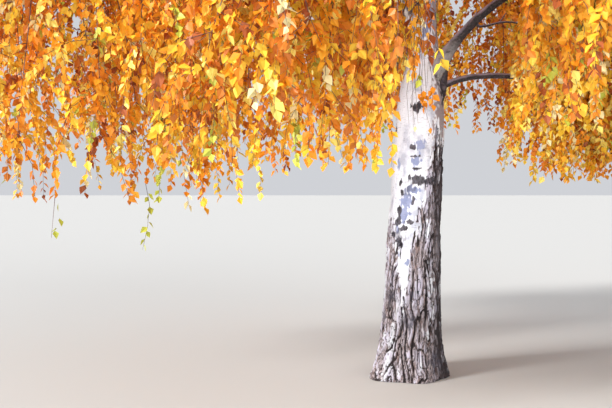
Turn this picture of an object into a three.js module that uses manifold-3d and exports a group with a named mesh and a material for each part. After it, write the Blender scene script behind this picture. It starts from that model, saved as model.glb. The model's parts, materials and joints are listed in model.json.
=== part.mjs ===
// A silver birch in autumn: a leaning trunk with a flared foot, boughs that arch out from it,
// and weeping masses of foliage that hang round the open space under the crown.
// Millimetres and degrees. +Z is up, and the origin is the middle of the trunk's flat cut at the
// ground. Azimuth 0 points along +X and 90 along +Y.

import * as THREE from "three";
import { mergeVertices } from "three/addons/utils/BufferGeometryUtils.js";
import Module from "manifold-3d";

const wasm = await Module();
wasm.setup();

// Trunk
const TRUNK_HEIGHT = 10700;
const TRUNK_LEAN = 0.05; // sideways per unit of height, towards +X
const TRUNK_STRAIGHTENS = 0.35; // share of the lean that is gone at the tip
const TRUNK_BOW = 20; // how far the stem bows from side to side
const TRUNK_BOW_HEIGHT = 3000; // height of one bow
const TRUNK_SWAY = 130; // how far the stem snakes along Y
const BOLE_RADIUS = 228; // below the fork, at the ground, without the flare
const BOLE_TAPER = 0.018; // radius lost per unit of height
const FORK_LOW = 2100; // the bole narrows from here
const FORK_HIGH = 3020; // to here, where the boughs have left it
const LEADER_RADIUS = 78; // just above the fork
const LEADER_TIP_RADIUS = 9;
const FLARE = 80; // how far the root flare stands out at the ground
const FLARE_HEIGHT = 250; // height over which it dies away by a factor of e
const BUTTRESS = 0.5; // ridges of the flare, as a share of it
const BUTTRESS_COUNT = 5;
const BUTTRESS_TURN = 212; // azimuth of the strongest ridge
const TRUNK_SIDES = 20;
const TRUNK_RINGS = 20;

// Boughs
const BOUGH_SIDES = 5;
const LEADER_SIDES = 7;
const LIMB_STEPS = 24;
const BOUGH_STRIDE = 2; // path points from one ring of a bough to the next
const STEM_STRIDE = 4;
const STEM_SIDES = 3;
const COLLAR = 0.35; // swelling where a bough leaves its parent, as a share of its radius
const COLLAR_LENGTH = 160;
const LIMB_WANDER = 9; // sideways snaking of a limb, in degrees
const LIMB_TIP_SHARE = 0.12; // radius at the limb's end, as a share of that at its root
const GAP = 0.3; // clear space left between solids that meet
const GOLDEN_ANGLE = 137.5;

// Foliage
const TWIGS_PER_MASS = 4;
const TRIES = 4; // ways tried for a twig or blade before it is skipped
const TWIG_STEPS = 2;
const TWIG_RADIUS = 14;
const TWIG_TIP_RADIUS = 6;
const TWIG_SPREAD = [120, 760]; // how far a hanging twig swings out from its stem
const TWIG_HANG = [250, 1900]; // shortest and longest drop
const SPRAYS_PER_TWIG = 3;
const SPRAYS_PER_STEM = 4;
const SPRAY_LENGTH = [600, 820]; // each blade stands for a spray of leaves
const SPRAY_SHORTEST = 330;
const SPRAY_WIDTH_SHARE = 0.46;
const SPRAY_THICK_SHARE = 0.025;
const SPRAY_WAIST = 0.4; // widest place, from the root
const SPRAY_SPLAY = [0.45, 0.85]; // how far a blade leans out, where 1 is half right
const SPRAY_CLEARANCE = 100; // from one blade or twig of a mass to another
const TWIG_MARKS = [0.25, 0.4, 0.55, 0.7, 0.85, 1]; // places on a twig where it is checked
const CELL_MARGIN = 18; // how much nearer to its own stem than to another's
const LIMB_CLEARANCE = 12;

// Colours of the bark and of the leaves
const BARK_WHITE = new THREE.Color(0.83, 0.81, 0.79);
const BARK_DARK = new THREE.Color(0.16, 0.11, 0.09);
const LEAF_COLOURS = {
  leaf_gold: new THREE.Color(0.95, 0.62, 0.08),
  leaf_orange: new THREE.Color(0.9, 0.42, 0.04),
  leaf_lemon: new THREE.Color(0.96, 0.78, 0.22),
};

// The lowest limbs, one by one, as the photo shows them or needs them.
// height is where the limb's middle line leaves its parent's, bare is the share of its length
// that is a bough, and hem is the height above ground to which its foliage hangs.
const LOW_LIMBS = [
  { name: "right_low", height: 2150, azimuth: 356, length: 2700, rise: 68, fall: -9, bend: 7,
    radius: 28, bare: 0.33, hem: 1560 },
  { name: "right_high", height: 2190, azimuth: 334, length: 3700, rise: 70, fall: -36, bend: 1.5,
    radius: 40, bare: 0.34, hem: 1650 },
  { name: "front_right", height: 3060, azimuth: 303, length: 3200, rise: 46, fall: -36, bend: 1.1,
    radius: 34, bare: 0.36, hem: 1850 },
  { name: "front", height: 3330, azimuth: 266, length: 3000, rise: 46, fall: -40, bend: 1.1,
    radius: 34, bare: 0.36, hem: 1900 },
  { name: "front_mid", height: 2860, azimuth: 243, length: 3200, rise: 50, fall: -40, bend: 1.1,
    radius: 32, bare: 0.36, hem: 1640 },
  { name: "front_left", height: 3080, azimuth: 215, length: 3500, rise: 44, fall: -36, bend: 1.1,
    radius: 30, bare: 0.34, hem: 1410, parent: "leader" },
  { name: "left", height: 3420, azimuth: 186, length: 3900, rise: 42, fall: -34, bend: 1.1,
    radius: 31, bare: 0.34, hem: 1400, parent: "leader" },
  { name: "back_left", height: 3150, azimuth: 142, length: 3600, rise: 46, fall: -34, bend: 1.1,
    radius: 30, bare: 0.34, hem: 1850, parent: "leader" },
  { name: "back", height: 3180, azimuth: 92, length: 3500, rise: 46, fall: -34, bend: 1.1,
    radius: 36, bare: 0.34, hem: 2100 },
  { name: "back_right", height: 2960, azimuth: 46, length: 3600, rise: 48, fall: -34, bend: 1.1,
    radius: 36, bare: 0.34, hem: 2050 },
  { name: "left_high", height: 4300, azimuth: 194, length: 3100, rise: 56, fall: -26, bend: 1.1,
    radius: 26, bare: 0.34, hem: 2900, parent: "leader" },
  { name: "left_top", height: 5300, azimuth: 164, length: 2700, rise: 60, fall: -20, bend: 1.1,
    radius: 22, bare: 0.34, hem: 3800, parent: "leader" },
];

// The rest of the crown: limbs in a spiral up the trunk, which leaves room for the leader beside it.
const SPIRAL_COUNT = 18;
const SPIRAL_LOW = 4050;
const SPIRAL_HIGH = 10250;
const SPIRAL_FIRST = 212; // azimuth where the arc that is open to them starts
const SPIRAL_ARC = 290; // the arc below the leader's tip
const SPIRAL_TURN = 0.618; // share of the arc from one limb to the next
const CROWN_RADIUS = 3700; // length of a limb at CROWN_BASE, falling to none at CROWN_TOP
const CROWN_BASE = 3600;
const CROWN_TOP = 12000;
const CROWN_POINT = 0.5; // less is blunter
const BARE_UP_TO = 7700; // higher limbs are covered with foliage from the trunk on
const SPIRAL_FOOT = { rise: 62, fall: -24, radius: 38, hang: 2500 };
const SPIRAL_HEAD = { rise: 76, fall: 10, radius: 12, hang: 1500 };
const LEADER = { name: "leader", height: 2420, azimuth: 176, length: 6000, rise: 79, fall: 58,
  bend: 1, radius: 54, bare: 0.67, hang: 1900, upright: true };
const CREST = { name: "crest", length: 1250, hang: 1500, swing: 0.5 };

const radians = THREE.MathUtils.degToRad;
const UP = new THREE.Vector3(0, 0, 1);

// Numbers from 0 to 1 that are the same on every run.
function seeded(seed) {
  const MULTIPLIER = 48271;
  const MODULUS = 2147483647;
  let state = (seed * 7919 + 104729) % MODULUS;
  return () => {
    state = (state * MULTIPLIER) % MODULUS;
    return state / MODULUS;
  };
}

const between = ([low, high], share) => low + (high - low) * share;
const clamp = (value, [low, high]) => Math.min(high, Math.max(low, value));
const compass = (azimuth) =>
  new THREE.Vector3(Math.cos(radians(azimuth)), Math.sin(radians(azimuth)), 0);

// Trunk

function trunkCentre(z) {
  const share = z / TRUNK_HEIGHT;
  const bow = TRUNK_BOW * Math.sin((Math.PI * z) / TRUNK_BOW_HEIGHT);
  const x = TRUNK_LEAN * z * (1 - TRUNK_STRAIGHTENS * share) - bow;
  const y = TRUNK_SWAY * Math.sin(Math.PI * 1.5 * share) * share;
  return new THREE.Vector3(x, y, z);
}

function stemRadius(z) {
  const bole = BOLE_RADIUS - BOLE_TAPER * z;
  const share = Math.max(0, z - FORK_HIGH) / (TRUNK_HEIGHT - FORK_HIGH);
  const leader = LEADER_TIP_RADIUS + (LEADER_RADIUS - LEADER_TIP_RADIUS) * (1 - share) ** 0.85;
  return THREE.MathUtils.lerp(bole, leader, THREE.MathUtils.smoothstep(z, FORK_LOW, FORK_HIGH));
}

// The flare stands out as ridges that run into the roots, one of them stronger than the rest.
function flareAt(z, azimuth) {
  const turn = radians(azimuth - BUTTRESS_TURN);
  const ridges = BUTTRESS * (Math.cos(BUTTRESS_COUNT * turn) * 0.5 + Math.max(0, Math.cos(turn)) ** 6);
  return FLARE * (1 + ridges) * Math.exp(-z / FLARE_HEIGHT);
}

// Heights of the trunk's rings: close together at the flare, further apart above it.
const ringHeight = (share) => TRUNK_HEIGHT * share ** 1.8;

function trunkGeometry(extra = 0) {
  const geometry = new THREE.CylinderGeometry(1, 1, 1, TRUNK_SIDES, TRUNK_RINGS);
  const place = geometry.getAttribute("position");
  for (let i = 0; i < place.count; i++) {
    const z = ringHeight(place.getY(i) + 0.5);
    const azimuth = THREE.MathUtils.radToDeg(Math.atan2(place.getX(i), place.getZ(i)));
    const onAxis = Math.hypot(place.getX(i), place.getZ(i)) < 0.5;
    const radius = onAxis ? 0 : stemRadius(z) + flareAt(z, azimuth) + extra;
    const point = trunkCentre(z).addScaledVector(compass(azimuth), radius);
    place.setXYZ(i, point.x, point.y, point.z);
  }
  return geometry;
}

// Limbs: a limb is a bough and, beyond its bare share, the stem that carries its foliage

// The middle line. Its elevation turns from rise to fall, early if bend is large.
function limbPath(limb, start) {
  const step = limb.length / LIMB_STEPS;
  const phase = (limb.azimuth * 7) % 360;
  const points = [start.clone()];
  for (let i = 0; i < LIMB_STEPS; i++) {
    const share = (i + 0.5) / LIMB_STEPS;
    const elevation = radians(limb.fall + (limb.rise - limb.fall) * (1 - share) ** limb.bend);
    const azimuth = limb.azimuth + LIMB_WANDER * Math.sin(radians(phase + 540 * share));
    const along = compass(azimuth).multiplyScalar(Math.cos(elevation));
    along.z = Math.sin(elevation);
    points.push(points[i].clone().addScaledVector(along, step));
  }
  return points;
}

function tangentAt(points, i) {
  const before = points[Math.max(0, i - 1)];
  const after = points[Math.min(points.length - 1, i + 1)];
  return after.clone().sub(before).normalize();
}

function limbRadius(limb, share) {
  const fromRoot = share * limb.length;
  const taper = LIMB_TIP_SHARE + (1 - LIMB_TIP_SHARE) * (1 - share) ** 0.9;
  return limb.radius * taper * (1 + COLLAR * Math.exp(-fromRoot / COLLAR_LENGTH));
}

// A round bar bent along a line: rings has {point, tangent, radius} from root to tip.
function bentBar(rings, sides) {
  const last = rings.length - 1;
  const geometry = new THREE.CylinderGeometry(1, 1, 1, sides, last);
  const place = geometry.getAttribute("position");
  const across = new THREE.Vector3();
  const frames = [];
  let normal = Math.abs(rings[0].tangent.z) > 0.9 ? new THREE.Vector3(1, 0, 0) : UP.clone();
  for (const ring of rings) {
    normal = normal.clone().addScaledVector(ring.tangent, -normal.dot(ring.tangent)).normalize();
    frames.push({ normal, binormal: normal.clone().cross(ring.tangent) });
  }
  for (let i = 0; i < place.count; i++) {
    const k = Math.round((place.getY(i) + 0.5) * last);
    const { point, radius } = rings[k];
    across.copy(point);
    across.addScaledVector(frames[k].normal, place.getX(i) * radius);
    across.addScaledVector(frames[k].binormal, place.getZ(i) * radius);
    place.setXYZ(i, across.x, across.y, across.z);
  }
  return geometry;
}

function solidOf(geometry) {
  geometry.deleteAttribute("normal");
  geometry.deleteAttribute("uv");
  const merged = mergeVertices(geometry, 1e-4);
  return new wasm.Manifold(
    new wasm.Mesh({
      numProp: 3,
      vertProperties: merged.getAttribute("position").array,
      triVerts: new Uint32Array(merged.index.array),
    }),
  );
}

function geometryOf(solid) {
  const mesh = solid.getMesh();
  const geometry = new THREE.BufferGeometry();
  geometry.setAttribute("position", new THREE.BufferAttribute(mesh.vertProperties, 3));
  geometry.setIndex(new THREE.BufferAttribute(mesh.triVerts, 1));
  return geometry;
}

// All the limbs of the tree, each with its middle line

function spiralLimb(i) {
  const share = i / (SPIRAL_COUNT - 1);
  const height = THREE.MathUtils.lerp(SPIRAL_LOW, SPIRAL_HIGH, share);
  const arc = height < BARE_UP_TO ? SPIRAL_ARC : 360;
  const crown = (1 - (height - CROWN_BASE) / (CROWN_TOP - CROWN_BASE)) ** CROWN_POINT;
  const limb = {
    name: "crown_" + (i + 1),
    height,
    azimuth: SPIRAL_FIRST + arc * ((i * SPIRAL_TURN) % 1),
    length: CROWN_RADIUS * crown,
    bend: 1,
    bare: height < BARE_UP_TO ? 0.34 : 0,
  };
  for (const [key, foot] of Object.entries(SPIRAL_FOOT)) {
    limb[key] = THREE.MathUtils.lerp(foot, SPIRAL_HEAD[key], share);
  }
  return limb;
}

const leader = { ...LEADER, path: limbPath(LEADER, trunkCentre(LEADER.height)) };

function pointOnLeader(z) {
  const above = leader.path.findIndex((point) => point.z > z);
  const [low, high] = [leader.path[above - 1], leader.path[above]];
  return low.clone().lerp(high, (z - low.z) / (high.z - low.z));
}

function growLimb(limb) {
  const start = limb.parent === "leader" ? pointOnLeader(limb.height) : trunkCentre(limb.height);
  return { ...limb, path: limbPath(limb, start) };
}

function crestLimb() {
  const tip = trunkCentre(TRUNK_HEIGHT);
  const path = [];
  for (let i = 0; i <= LIMB_STEPS; i++) {
    const share = i / LIMB_STEPS;
    path.push(tip.clone().add(new THREE.Vector3(90 * share * share, 40 * share, CREST.length * share)));
  }
  return { ...CREST, radius: LEADER_TIP_RADIUS * 0.9, bare: 0, fromTip: true, upright: true, path };
}

const limbs = [
  ...LOW_LIMBS.map(growLimb),
  leader,
  ...Array.from({ length: SPIRAL_COUNT }, (_, i) => growLimb(spiralLimb(i))),
  crestLimb(),
];
limbs.forEach((limb, i) => {
  limb.seed = i + 1;
  limb.split = STEM_STRIDE * Math.round((limb.bare * LIMB_STEPS) / STEM_STRIDE);
});

// Boughs

// A limb's rings from path point first to path point last. A bough that starts inside its parent
// is cut by it afterwards.
function ringsOf(limb, first, last, stride) {
  const rings = [];
  for (let i = first; i <= last; i += stride) {
    const radius = limbRadius({ length: 1, ...limb }, i / LIMB_STEPS);
    rings.push({ point: limb.path[i].clone(), tangent: tangentAt(limb.path, i), radius });
  }
  return rings;
}

const trunkCutter = solidOf(trunkGeometry(GAP + 0.2));
const leaderRings = ringsOf(leader, 0, leader.split, BOUGH_STRIDE);
leaderRings.forEach((ring) => (ring.radius += GAP + 0.4));
const leaderCutter = solidOf(bentBar(leaderRings, LEADER_SIDES));

function cutClearOfParents(limb, solid) {
  const clear = solid.subtract(trunkCutter);
  const freed = limb === leader ? clear : clear.subtract(leaderCutter);
  const pieces = freed.decompose();
  return pieces.sort((a, b) => b.volume() - a.volume())[0];
}

function boughSolid(limb) {
  const sides = limb === leader ? LEADER_SIDES : BOUGH_SIDES;
  return cutClearOfParents(limb, solidOf(bentBar(ringsOf(limb, 0, limb.split, BOUGH_STRIDE), sides)));
}

// Space: each mass keeps to the points that are nearest to its own stem and to the air under it

const DROPS = 4;

function hemOf(limb, z) {
  return limb.hem ?? z - limb.hang;
}

function curtainPoints(limb) {
  const points = [];
  for (let i = limb.split; i <= LIMB_STEPS; i += 2) {
    const top = limb.path[i];
    const hem = hemOf(limb, top.z);
    for (let k = 0; k <= DROPS; k++) {
      points.push(new THREE.Vector3(top.x, top.y, THREE.MathUtils.lerp(top.z, hem, k / (DROPS + 0.5))));
    }
  }
  return points;
}

for (const limb of limbs) limb.curtain = curtainPoints(limb);

function distanceToCurtain(limb, point) {
  return Math.sqrt(Math.min(...limb.curtain.map((p) => p.distanceToSquared(point))));
}

function inOwnSpace(limb, point) {
  const own = distanceToCurtain(limb, point) + CELL_MARGIN;
  return limbs.every((other) => other === limb || distanceToCurtain(other, point) > own);
}

const segment = new THREE.Line3();
const nearest = new THREE.Vector3();

function clearOfBoughs(point) {
  if (point.z < TRUNK_HEIGHT) {
    const fromTrunk = Math.hypot(point.x - trunkCentre(point.z).x, point.y - trunkCentre(point.z).y);
    if (fromTrunk < stemRadius(point.z) + LIMB_CLEARANCE) return false;
  }
  for (const limb of limbs) {
    for (let i = 0; i < limb.split; i++) {
      segment.set(limb.path[i], limb.path[i + 1]);
      segment.closestPointToPoint(point, true, nearest);
      if (nearest.distanceTo(point) < limbRadius(limb, i / LIMB_STEPS) + LIMB_CLEARANCE) return false;
    }
  }
  return true;
}

const allowed = (limb, points) =>
  points.every((point) => inOwnSpace(limb, point) && clearOfBoughs(point));

// Foliage

// A twig swings out from its stem, turns down and hangs.
function hangingPath(start, heading, spread, hang) {
  const path = [];
  for (let i = 0; i <= TWIG_STEPS; i++) {
    const share = i / TWIG_STEPS;
    const point = start.clone().addScaledVector(heading, spread * (1 - (1 - share) ** 2));
    point.z -= hang * share ** 1.6;
    path.push(point);
  }
  return path;
}

function twigSolid(path) {
  const rings = path.map((point, i) => ({
    point,
    tangent: tangentAt(path, i),
    radius: THREE.MathUtils.lerp(TWIG_RADIUS, TWIG_TIP_RADIUS, i / TWIG_STEPS),
  }));
  return solidOf(bentBar(rings, 3));
}

// A blade in a leaf's outline, from root along direction: eight faces, thick at its waist.
function spraySolid({ root, direction, side, length }) {
  const width = (length * SPRAY_WIDTH_SHARE) / 2;
  const thickness = (length * SPRAY_THICK_SHARE) / 2;
  const face = direction.clone().cross(side).normalize();
  const geometry = new THREE.OctahedronGeometry(1, 0);
  const place = geometry.getAttribute("position");
  for (let i = 0; i < place.count; i++) {
    const along = place.getY(i) === 0 ? SPRAY_WAIST : (place.getY(i) + 1) / 2;
    const point = root.clone().addScaledVector(direction, along * length);
    point.addScaledVector(side, place.getX(i) * width);
    point.addScaledVector(face, -place.getZ(i) * thickness);
    place.setXYZ(i, point.x, point.y, point.z);
  }
  return solidOf(geometry);
}

// Points over a blade, leaving out its root, which is sunk in the twig.
function sprayPoints({ root, direction, side, length }) {
  const points = [];
  for (const along of [0.2, SPRAY_WAIST, 0.55, 0.78, 1]) {
    const open = along < SPRAY_WAIST ? along / SPRAY_WAIST : (1 - along) / (1 - SPRAY_WAIST);
    for (const across of [-1, 0, 1]) {
      const offset = (across * open * length * SPRAY_WIDTH_SHARE) / 2;
      points.push(root.clone().addScaledVector(direction, along * length).addScaledVector(side, offset));
    }
  }
  return points;
}

function pointOnPath(path, share) {
  const place = share * (path.length - 1);
  const i = Math.min(path.length - 2, Math.floor(place));
  return path[i].clone().lerp(path[i + 1], place - i);
}

// Whether points keep clear of the blades and twigs that the mass has already.
const apart = (mass, points) =>
  points.every((point) => mass.taken.every((other) => other.distanceTo(point) > SPRAY_CLEARANCE));

// Hangs a blade from root, turned away from heading by an angle within turns. Where the way that
// comes up leaves the mass's space or meets something, another is tried.
function growSpray(mass, root, heading, turns, splays) {
  const { limb, random } = mass;
  for (let attempt = 0; attempt < TRIES; attempt++) {
    const outward = heading.clone().applyAxisAngle(UP, radians(between(turns, random())));
    const direction = outward.clone().multiplyScalar(between(splays, random())).sub(UP).normalize();
    const side = outward.clone().applyAxisAngle(UP, radians(90));
    side.applyAxisAngle(direction, radians(random() * 120 - 60)).normalize();
    const room = (root.z - hemOf(limb, root.z)) / -direction.z;
    const length = Math.min(between(SPRAY_LENGTH, random()), room);
    const spray = { root: root.clone().addScaledVector(direction, -4), direction, side, length };
    const points = sprayPoints(spray);
    if (length < SPRAY_SHORTEST || !allowed(limb, points) || !apart(mass, points)) continue;
    mass.pieces.push(spraySolid(spray));
    mass.taken.push(...points);
    return;
  }
}

// The blades of one twig, left and right in turn, the last at its tip.
function spraysOnTwig(mass, path) {
  const heading = path.at(-1).clone().sub(path[0]).setZ(0).normalize();
  for (let k = 1; k < SPRAYS_PER_TWIG; k++) {
    const turns = k % 2 ? [40, 120] : [-120, -40];
    growSpray(mass, pointOnPath(path, k / SPRAYS_PER_TWIG), heading, turns, SPRAY_SPLAY);
  }
  growSpray(mass, path.at(-1), heading, [-90, 90], [0, 0.15]);
}

// The way in which the k-th twig or blade of a stem sets off from path point place: left and right
// in turn, or all round where the stem stands upright.
function headingFrom(limb, place, k, turn) {
  if (limb.upright) return compass(GOLDEN_ANGLE * k + turn);
  const along = tangentAt(limb.path, Math.round(place)).setZ(0).normalize();
  return along.applyAxisAngle(UP, radians(k % 2 ? turn : -turn));
}

function spraysOnStem(mass) {
  const { limb } = mass;
  for (let k = 0; k < SPRAYS_PER_STEM; k++) {
    const place = limb.split + ((LIMB_STEPS - limb.split) * (k + 0.4)) / SPRAYS_PER_STEM;
    const root = pointOnPath(limb.path, place / LIMB_STEPS);
    growSpray(mass, root, headingFrom(limb, place, k, 60), [-40, 40], SPRAY_SPLAY);
  }
}

// Twigs leave the stem one after the other, the last from its end.
function twigsOnStem(mass) {
  const { limb, random } = mass;
  for (let k = 0; k < TWIGS_PER_MASS; k++) {
    const place = limb.split + ((LIMB_STEPS - limb.split) * (k + 0.8)) / TWIGS_PER_MASS;
    const start = pointOnPath(limb.path, Math.min(0.985, place / LIMB_STEPS));
    const turns = k === TWIGS_PER_MASS - 1 ? [0, 30] : [40, 90];
    for (let attempt = 0; attempt < TRIES; attempt++) {
      const heading = headingFrom(limb, place, k, between(turns, random()));
      const fall = (start.z - hemOf(limb, start.z)) * (0.75 + 0.25 * random());
      const hang = clamp(fall - SPRAY_LENGTH[0], TWIG_HANG);
      const spread = between(TWIG_SPREAD, random()) * (limb.swing ?? 1);
      const path = hangingPath(start, heading, spread, hang);
      const line = TWIG_MARKS.map((share) => pointOnPath(path, share));
      if (!allowed(limb, line) || !apart(mass, line)) continue;
      mass.pieces.push(twigSolid(path));
      spraysOnTwig(mass, path);
      mass.taken.push(...line);
      break;
    }
  }
}

function foliageSolid(limb) {
  const stem = ringsOf(limb, limb.split, LIMB_STEPS, STEM_STRIDE);
  stem.forEach((ring) => (ring.radius = Math.max(ring.radius, TWIG_RADIUS * 0.8)));
  const onTip = limb.split > 0 || limb.fromTip;
  if (onTip) stem[0].point.addScaledVector(stem[0].tangent, GAP);
  const bar = solidOf(bentBar(stem, STEM_SIDES));
  const mass = {
    limb,
    random: seeded(limb.seed),
    pieces: [onTip ? bar : cutClearOfParents(limb, bar)],
    taken: [],
  };
  twigsOnStem(mass);
  spraysOnStem(mass);
  const joined = wasm.Manifold.union(mass.pieces);
  return joined.decompose().sort((a, b) => b.volume() - a.volume())[0];
}

// Assembly

const tree = new THREE.Group();
const barkMaterial = new THREE.MeshStandardMaterial({ color: BARK_WHITE, roughness: 0.8, metalness: 0 });
const boughMaterial = new THREE.MeshStandardMaterial({ color: BARK_DARK, roughness: 0.9, metalness: 0 });
const leafMaterials = Object.values(LEAF_COLOURS).map(
  (color) => new THREE.MeshStandardMaterial({ color, roughness: 0.6, metalness: 0 }),
);

function addNode(name, geometry, material) {
  const mesh = new THREE.Mesh(geometry, material);
  mesh.name = name;
  tree.add(mesh);
}

addNode("trunk", geometryOf(solidOf(trunkGeometry())), barkMaterial);
for (const limb of limbs) {
  if (limb.split > 0) addNode("bough_" + limb.name, geometryOf(boughSolid(limb)), boughMaterial);
}
limbs.forEach((limb, i) => {
  const material = leafMaterials[i % leafMaterials.length];
  addNode("foliage_" + limb.name, geometryOf(foliageSolid(limb)), material);
});

export default tree;
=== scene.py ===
# %% [markdown]
# # A silver birch in autumn
# The tree has a leaning trunk, white above and rough below, boughs that arch out of it, and long
# hanging twigs full of small gold and orange leaves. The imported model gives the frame: its trunk
# and boughs set the sizes, and its coarse foliage sets the reach of the crown. This script dresses
# that frame. Lengths are in metres, +Z is up, and azimuths run from 0 along +X to 90 along +Y.

# %% Load the frame
import json
import math

import bpy
import numpy as np
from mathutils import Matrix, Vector, noise

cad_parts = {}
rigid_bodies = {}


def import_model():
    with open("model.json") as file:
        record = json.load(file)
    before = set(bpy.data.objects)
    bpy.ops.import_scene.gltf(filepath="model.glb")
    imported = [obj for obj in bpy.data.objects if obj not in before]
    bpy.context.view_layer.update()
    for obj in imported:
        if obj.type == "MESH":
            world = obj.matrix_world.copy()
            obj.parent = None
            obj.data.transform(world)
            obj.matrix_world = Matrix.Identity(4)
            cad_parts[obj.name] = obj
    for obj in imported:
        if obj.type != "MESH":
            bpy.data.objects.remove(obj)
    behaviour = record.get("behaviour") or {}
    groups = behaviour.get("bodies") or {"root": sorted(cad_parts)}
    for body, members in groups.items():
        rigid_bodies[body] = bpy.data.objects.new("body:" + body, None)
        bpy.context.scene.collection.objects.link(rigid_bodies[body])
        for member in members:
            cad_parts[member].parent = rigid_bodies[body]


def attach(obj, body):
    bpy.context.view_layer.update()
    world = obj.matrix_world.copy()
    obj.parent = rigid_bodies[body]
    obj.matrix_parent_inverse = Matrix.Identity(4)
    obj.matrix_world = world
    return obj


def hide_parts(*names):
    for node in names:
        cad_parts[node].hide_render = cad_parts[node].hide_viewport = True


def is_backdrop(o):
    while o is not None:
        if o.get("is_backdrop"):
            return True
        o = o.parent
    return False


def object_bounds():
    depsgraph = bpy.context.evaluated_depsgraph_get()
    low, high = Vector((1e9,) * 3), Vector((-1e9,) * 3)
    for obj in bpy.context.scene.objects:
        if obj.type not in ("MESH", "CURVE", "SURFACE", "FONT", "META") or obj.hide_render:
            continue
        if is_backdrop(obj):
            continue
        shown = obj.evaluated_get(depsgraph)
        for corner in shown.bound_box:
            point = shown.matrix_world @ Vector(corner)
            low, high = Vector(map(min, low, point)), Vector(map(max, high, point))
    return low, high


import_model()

cad_low, cad_high = (np.array(corner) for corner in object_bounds())
print("the frame measures", np.round(cad_high - cad_low, 2), "m")

# %% [markdown]
# ## Camera
# The photographer stood under the crown, about seven metres from the trunk and a little to its
# left, with the lens at eye height. A lens of 49 mm and a slight downward tilt give the same view.
# A tilt keeps its meaning when the camera is moved to look from another side, which a lens shift
# would not.

# %% Camera
CAMERA_PLACE, CAMERA_TILT, LENS = (-0.839, -6.8, 1.58), 1.635, 49.47


def placed(name, data):
    """A new object with that data, in the scene."""
    made = bpy.data.objects.new(name, data)
    bpy.context.collection.objects.link(made)
    return made


camera = placed("camera", bpy.data.cameras.new("camera"))
camera.data.sensor_width = 36
camera.data.lens = LENS
camera.location = CAMERA_PLACE
camera.rotation_euler = (math.radians(90 - CAMERA_TILT), 0, 0)
bpy.context.scene.camera = camera
print("the camera stands", round(Vector(camera.location).length, 2), "m from the foot of the tree")

# %% [markdown]
# ## Studio
# A pale floor and a pale sky of one tone keep the eye on the tree. A sun lamp shines evenly from
# far away: a strong one from the left makes the lit and the shaded side that round things need,
# and a weaker one from the right opens the shadows. A broad angle gives soft edges. Both stop at
# the crown, so two low spots send light in under the hanging twigs, where the white trunk needs it.

# %% Floor, sky and lamps
WARM_WHITE, COOL_WHITE = (1, 0.98, 0.95), (0.98, 0.99, 1)
SPOT_LIFT = 1.85


def new_material(name):
    material = bpy.data.materials.new(name)
    material.use_nodes = True
    return material, material.node_tree.nodes["Principled BSDF"].inputs


def flat_material(name, colour, roughness):
    material, shader = new_material(name)
    shader["Base Color"].default_value = (*colour, 1)
    shader["Roughness"].default_value = roughness
    return material


bpy.ops.mesh.primitive_plane_add(size=160, location=(0, 0, -0.002))
floor = bpy.context.object
floor.name = "floor"
floor.data.materials.append(flat_material("pale floor", (0.56, 0.56, 0.55), 0.9))
floor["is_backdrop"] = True

world = bpy.context.scene.world or bpy.data.worlds.new("studio")
bpy.context.scene.world = world
world.use_nodes = True
sky = world.node_tree.nodes["Background"].inputs
sky["Color"].default_value, sky["Strength"].default_value = (0.93, 0.95, 1.0, 1), 0.68
bpy.context.scene.view_settings.view_transform = "Standard"


def add_lamp(name, kind, towards, power, colour):
    """A lamp that shines from the side given by towards."""
    lamp = placed(name, bpy.data.lights.new(name, kind))
    lamp.data.energy, lamp.data.color = power, colour
    lamp.rotation_euler = Vector(towards).to_track_quat("Z", "Y").to_euler()
    return lamp


key = add_lamp("key", "SUN", (-0.82, -0.45, 0.48), 4.6, WARM_WHITE)
fill = add_lamp("fill", "SUN", (0.5, -0.85, 0.45), 1.3, WARM_WHITE)
key.data.angle, fill.data.angle = math.radians(12), math.radians(60)
for name, place, power, width in [("low_left", (-2.3, -2.6, 0.2), 370, 50),
                                  ("low_right", (1.1, -5.1, 0.35), 500, 30)]:
    low = add_lamp(name, "SPOT", (*place[:2], -SPOT_LIFT), power, COOL_WHITE)
    low.location = place
    low.data.spot_size, low.data.spot_blend = math.radians(width), 0.8
    low.data.shadow_soft_size = 0.25
print("lamps:", ", ".join(item.name for item in bpy.data.lights))

# %% [markdown]
# ## Writing nodes as sums
# Bark needs many small sums, and a tree of nodes for them is slow to write by hand. This class
# adds a node of any kind in one call: settings first, because they decide which sockets a node
# has, and then the values or links of its sockets. The second class wraps a socket that carries a
# number, so that an ordinary expression adds its Math nodes.

# %% The node writer
class Tree:
    def __init__(self, nodes_of):
        self.tree = nodes_of

    def add(self, kind, sockets=(), **settings):
        node = self.tree.nodes.new(kind)
        for name, value in settings.items():
            setattr(node, name, value)
        for name, value in dict(sockets).items():
            self.put(node.inputs[name], value)
        return node

    def first(self, kind, sockets=(), **settings):
        """The first output of a new node."""
        return self.add(kind, sockets, **settings).outputs[0]

    def put(self, socket, value):
        if isinstance(value, Number):
            value = value.socket
        if isinstance(value, bpy.types.NodeSocket):
            self.tree.links.new(value, socket)
        else:
            socket.default_value = value

    def number(self, socket):
        return Number(self, socket)

    def math(self, operation, *values, clamp=False):
        return self.number(self.first("ShaderNodeMath", enumerate(values), operation=operation,
                                      use_clamp=clamp))


class Number:
    def __init__(self, tree, socket):
        self.tree, self.socket = tree, socket

    def __add__(self, other):
        return self.tree.math("ADD", self, other)

    def __sub__(self, other):
        return self.tree.math("SUBTRACT", self, other)

    def __rsub__(self, other):
        return self.tree.math("SUBTRACT", other, self)

    def __mul__(self, other):
        return self.tree.math("MULTIPLY", self, other)

    __radd__ = __add__

    def clamped(self):
        return self.tree.math("ADD", self, 0, clamp=True)

    def steps_up(self, low, high):
        """0 below low, 1 above high, and a straight slope between."""
        return self.tree.math("MULTIPLY", self - low, 1 / (high - low), clamp=True)


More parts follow.
